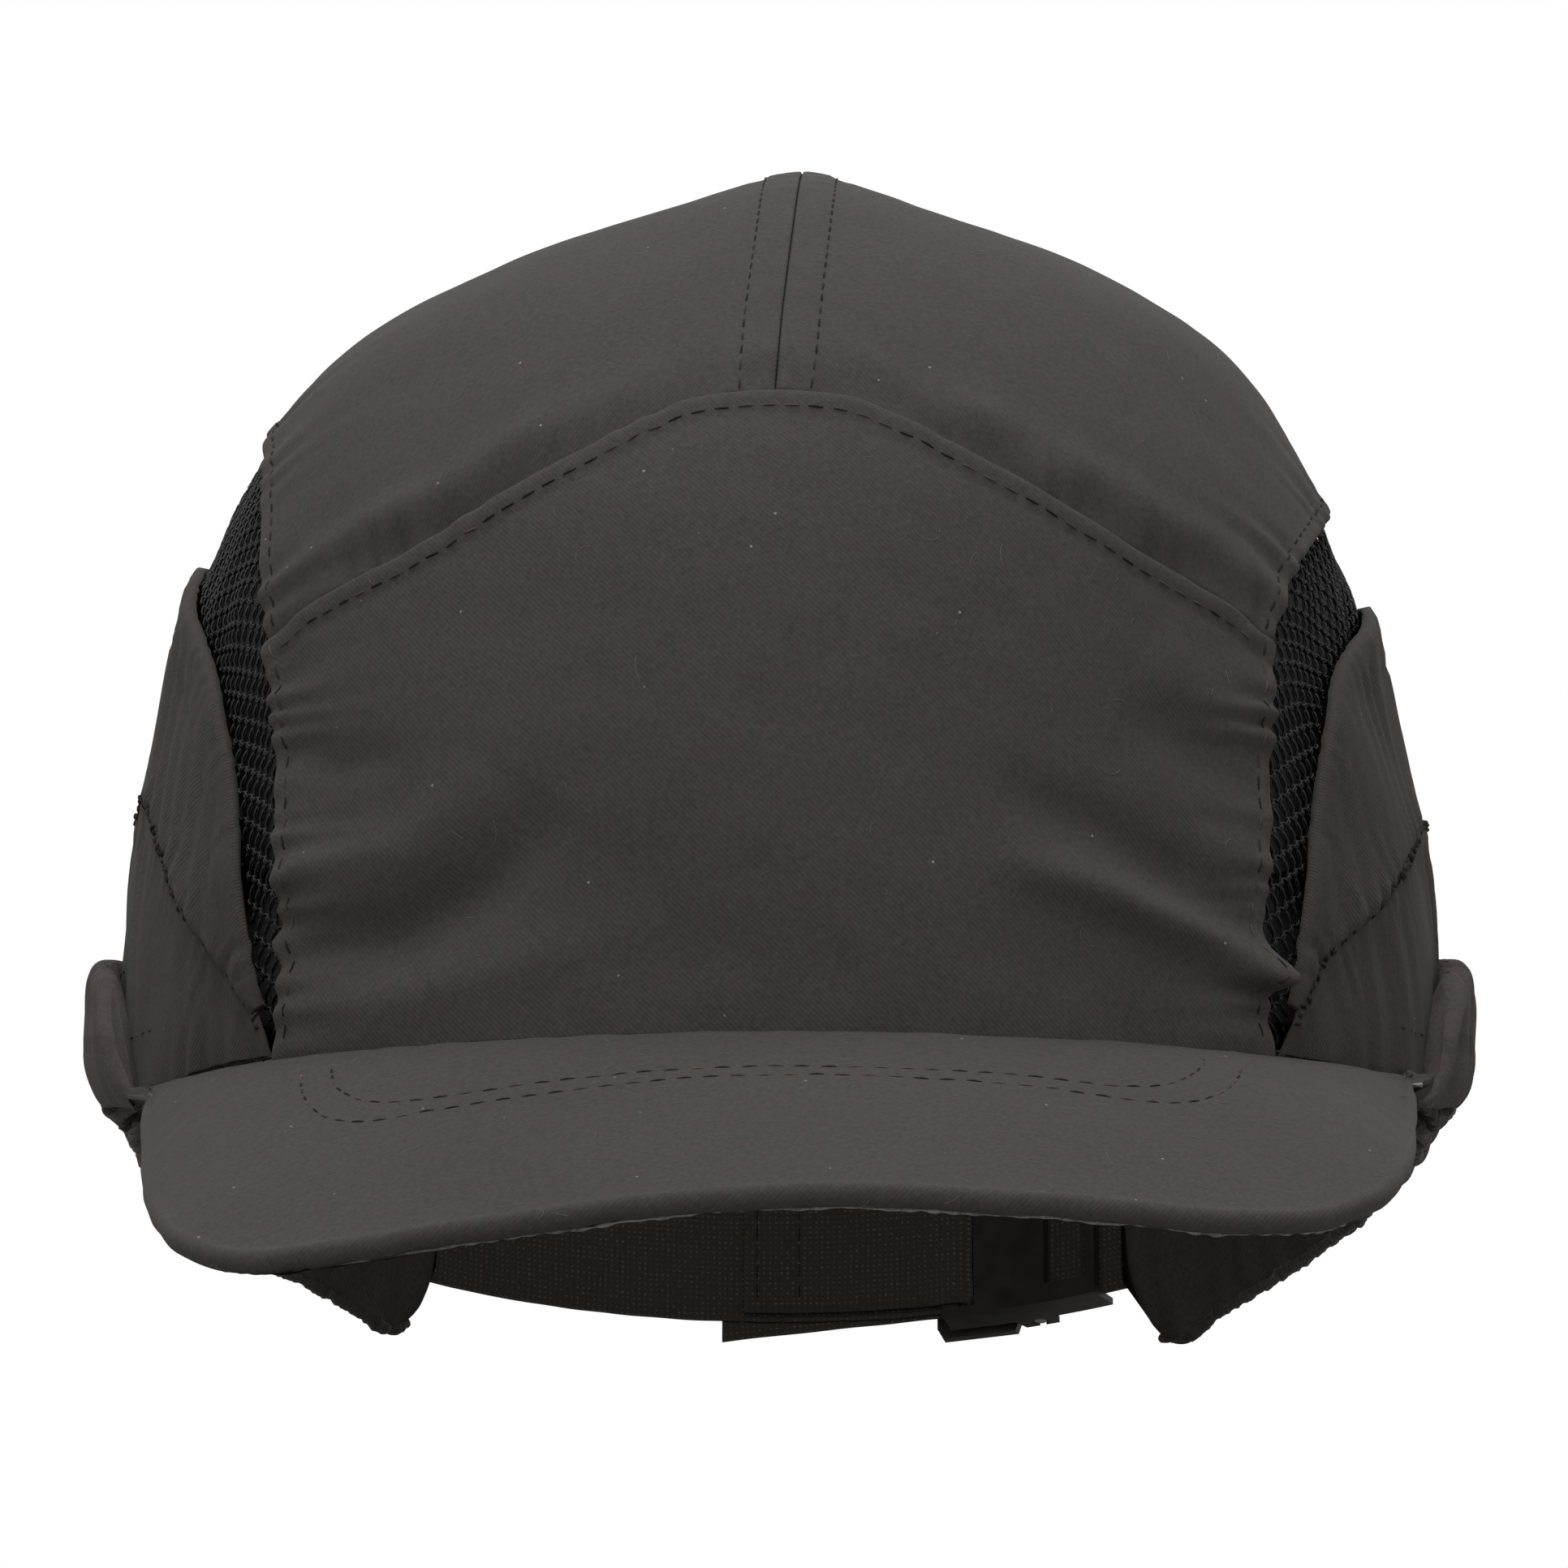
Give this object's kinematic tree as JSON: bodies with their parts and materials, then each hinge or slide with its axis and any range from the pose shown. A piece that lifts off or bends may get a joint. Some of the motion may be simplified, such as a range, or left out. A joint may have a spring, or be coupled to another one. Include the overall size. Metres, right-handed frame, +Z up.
{
  "type": "bump cap",
  "caption": "Baseball-style bump cap: fabric and mesh over a protective inner shell, short peak, padded sweatband and a rear elastic strap with a cam-lever buckle.",
  "frame": {"origin": "middle of the bottom of the cap's bounding box, on the table it rests on by its two peak tips and two rear corners", "axes": "+Z up, the peak points along -Y, +X to the right of someone who faces the peak"},
  "size_m": [0.19, 0.2617, 0.1583],
  "materials": {
    "cloth": "charcoal polyester-cotton twill, matt with a faint sheen",
    "mesh": "black open warp-knitted polyester mesh",
    "tape": "black woven tape",
    "shell": "black moulded ABS, fine grain",
    "foam": "dark grey closed-cell EVA foam",
    "sweatband": "black cotton towelling",
    "sweatband_core": "grey open-cell foam",
    "peak_stiffener": "polyethylene sheet",
    "webbing": "black woven elastic webbing",
    "buckle_plastic": "black moulded acetal",
    "pin_steel": "bright drawn steel",
    "label": "blank woven label"
  },
  "bodies": {
    "cap": {"buckle_frame": "buckle_plastic", "buckle_pin": "pin_steel", "bump_shell": "shell", "care_label": "label", "crown_pad": "foam", "crown_panel_left": "cloth", "crown_panel_right": "cloth", "crown_seam_tape": "tape", "ear_band_left": "cloth", "ear_band_right": "cloth", "front_pad": "foam", "front_panel": "cloth", "mesh_panel_left": "mesh", "mesh_panel_right": "mesh", "peak_board": "peak_stiffener", "peak_top_cover": "cloth", "peak_under_cover": "cloth", "rear_casing_left": "cloth", "rear_casing_right": "cloth", "rear_opening_binding": "tape", "rear_pad": "foam", "side_pad_left": "foam", "side_pad_right": "foam", "side_panel_left": "cloth", "side_panel_right": "cloth", "strap_left": "webbing", "sweatband": "sweatband", "sweatband_foam": "sweatband_core"},
    "free_strap": {"strap_right": "webbing"},
    "lever": {"buckle_lever": "buckle_plastic"}
  },
  "joints": [
    {"name": "strap_adjust", "type": "hinge", "parent": "cap", "child": "free_strap", "pos_m": [0, 0.035, 0.0475], "axis": [0, 0.342, 0.9397], "range_deg": [-6, 18]},
    {"name": "lever_open", "type": "hinge", "parent": "cap", "child": "lever", "pos_m": [0.03804, 0.11824, 0.01721], "axis": [0, -0.342, -0.9397], "range_deg": [0, 100]}
  ]
}
